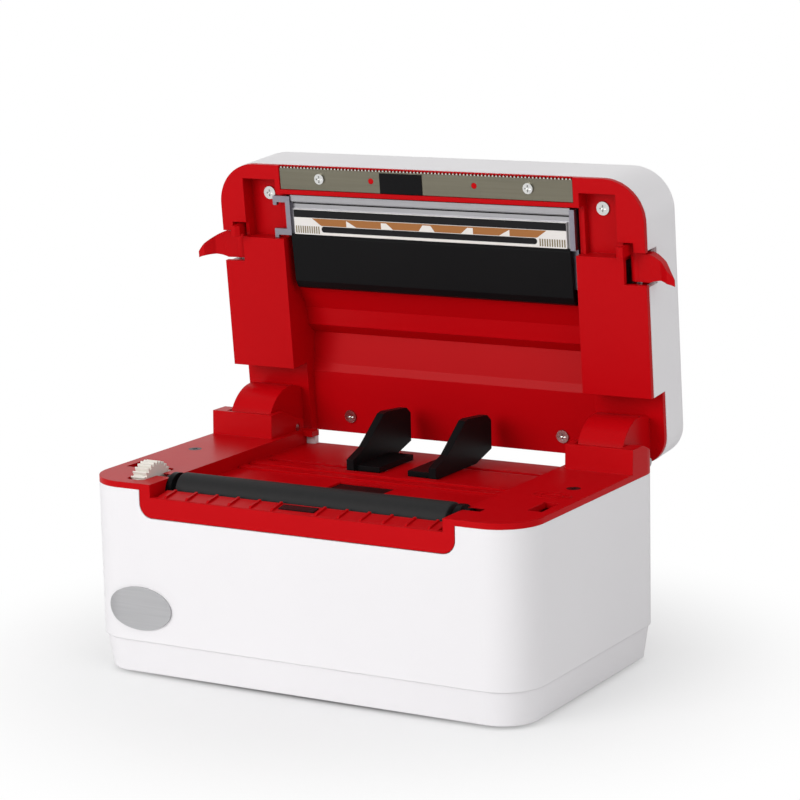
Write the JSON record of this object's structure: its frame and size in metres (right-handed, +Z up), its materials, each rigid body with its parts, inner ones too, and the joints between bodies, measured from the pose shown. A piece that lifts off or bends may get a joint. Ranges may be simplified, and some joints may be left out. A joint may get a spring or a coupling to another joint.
{
  "type": "thermal label printer",
  "caption": "Desktop thermal label printer with a hinged lid, spring-held print head, geared platen roller, coupled paper guides and side latches.",
  "frame": {"origin": "on the table under the centre of the lower case", "axes": "+X to the printer's right, +Y to its back, +Z up"},
  "size_m": [0.203, 0.1363, 0.1794],
  "materials": {
    "white_plastic": "satin moulded white",
    "red_plastic": "satin moulded red",
    "black_plastic": "fine-grained black",
    "dark_metal": "black phosphate",
    "steel": "turned steel",
    "screw_steel": "bright zinc",
    "spring_steel": "brushed blade steel",
    "sink_metal": "extruded aluminium",
    "hanger_metal": "grey zinc",
    "ceramic": "white ceramic",
    "roller_rubber": "ground rubber",
    "foot_rubber": "soft rubber",
    "gear_plastic": "natural acetal",
    "board": "green laminate",
    "badge_metal": "brushed plate",
    "light_pipe": "clear moulding"
  },
  "bodies": {
    "base": {"lower_case": "white_plastic", "base_plate": "black_plastic", "rubber_feet": "foot_rubber", "base_screws": "screw_steel", "deck_frame": "red_plastic", "deck_screws": "dark_metal", "hinge_pins": "steel", "platen_bushes": "black_plastic", "idler_stud": "steel", "drive_motor": "dark_metal", "motor_bracket": "steel", "motor_screws": "screw_steel", "gap_sensor": "black_plastic", "main_board": "board", "usb_port": "steel", "dc_inlet": "black_plastic", "switch_housing": "black_plastic", "badge": "badge_metal"},
    "lid": {"lid_cover": "white_plastic", "lid_frame": "red_plastic", "lid_screws": "screw_steel", "tear_bar": "spring_steel", "tear_bar_screws": "screw_steel", "sensor_pad": "black_plastic", "head_springs": "steel", "latch_pins": "steel", "button_board": "board", "light_pipe": "light_pipe"},
    "print_head": {"head_heatsink": "sink_metal", "head_ceramic": "ceramic", "head_cover": "black_plastic", "head_hanger_left": "hanger_metal", "head_hanger_right": "hanger_metal"},
    "platen": {"platen_shaft": "steel", "platen_rubber": "roller_rubber", "platen_gear": "gear_plastic"},
    "idler": {"idler_gear": "gear_plastic"},
    "motor_rotor": {"motor_shaft": "steel", "motor_pinion": "gear_plastic"},
    "guide_left": {"paper_guide_left": "black_plastic"},
    "guide_right": {"paper_guide_right": "black_plastic"},
    "guide_gear": {"guide_pinion": "gear_plastic"},
    "latch_left": {"latch_left": "red_plastic"},
    "latch_right": {"latch_right": "red_plastic"},
    "button": {"feed_button": "white_plastic"},
    "rocker": {"power_rocker": "black_plastic"}
  },
  "joints": [
    {"name": "lid_hinge", "type": "hinge", "parent": "base", "child": "lid", "pos_m": [0, 0.05, 0.0735], "axis": [1, 0, 0], "range_deg": [0, 85]},
    {"name": "platen_spin", "type": "hinge", "parent": "base", "child": "platen", "pos_m": [0, -0.0385, 0.068], "axis": [1, 0, 0], "continuous": true},
    {"name": "idler_spin", "type": "hinge", "parent": "base", "child": "idler", "pos_m": [-0.0705, -0.02542, 0.0486], "axis": [1, 0, 0], "continuous": true},
    {"name": "motor_spin", "type": "hinge", "parent": "base", "child": "motor_rotor", "pos_m": [-0.0705, -0.00843, 0.04031], "axis": [1, 0, 0], "continuous": true},
    {"name": "guide_left_slide", "type": "slide", "parent": "base", "child": "guide_left", "axis": [1, 0, 0], "range_m": [-0.036, 0.003]},
    {"name": "guide_right_slide", "type": "slide", "parent": "base", "child": "guide_right", "axis": [1, 0, 0], "range_m": [-0.003, 0.036]},
    {"name": "guide_gear_turn", "type": "hinge", "parent": "base", "child": "guide_gear", "pos_m": [0, 0.029, 0.0635], "axis": [0, 0, 1], "range_deg": [-350, 45]},
    {"name": "head_float", "type": "slide", "parent": "lid", "child": "print_head", "axis": [0, 0.9962, 0.0872], "range_m": [0, 0.0006], "stiffness_N_per_m": 6000},
    {"name": "latch_left_pull", "type": "hinge", "parent": "lid", "child": "latch_left", "pos_m": [-0.0845, 0.04858, 0.14716], "axis": [0, 0.0872, -0.9962], "range_deg": [0, 8], "stiffness_Nm_per_rad": 0.25},
    {"name": "latch_right_pull", "type": "hinge", "parent": "lid", "child": "latch_right", "pos_m": [0.0845, 0.04858, 0.14716], "axis": [0, -0.0872, 0.9962], "range_deg": [0, 8], "stiffness_Nm_per_rad": 0.25},
    {"name": "feed_button_press", "type": "slide", "parent": "lid", "child": "button", "axis": [0, -0.9962, -0.0872], "range_m": [0, 0.0008], "stiffness_N_per_m": 800},
    {"name": "power_rocker_tilt", "type": "hinge", "parent": "base", "child": "rocker", "pos_m": [-0.044, 0.05225, 0.032], "axis": [1, 0, 0], "range_deg": [0, 9]}
  ],
  "couplings": [
    {"joint": "idler_spin", "follows": "platen_spin", "ratio": -0.625},
    {"joint": "motor_spin", "follows": "platen_spin", "ratio": 2},
    {"joint": "guide_right_slide", "follows": "guide_left_slide", "ratio": -1},
    {"joint": "guide_gear_turn", "follows": "guide_left_slide", "rad_per_m": 166.67}
  ]
}
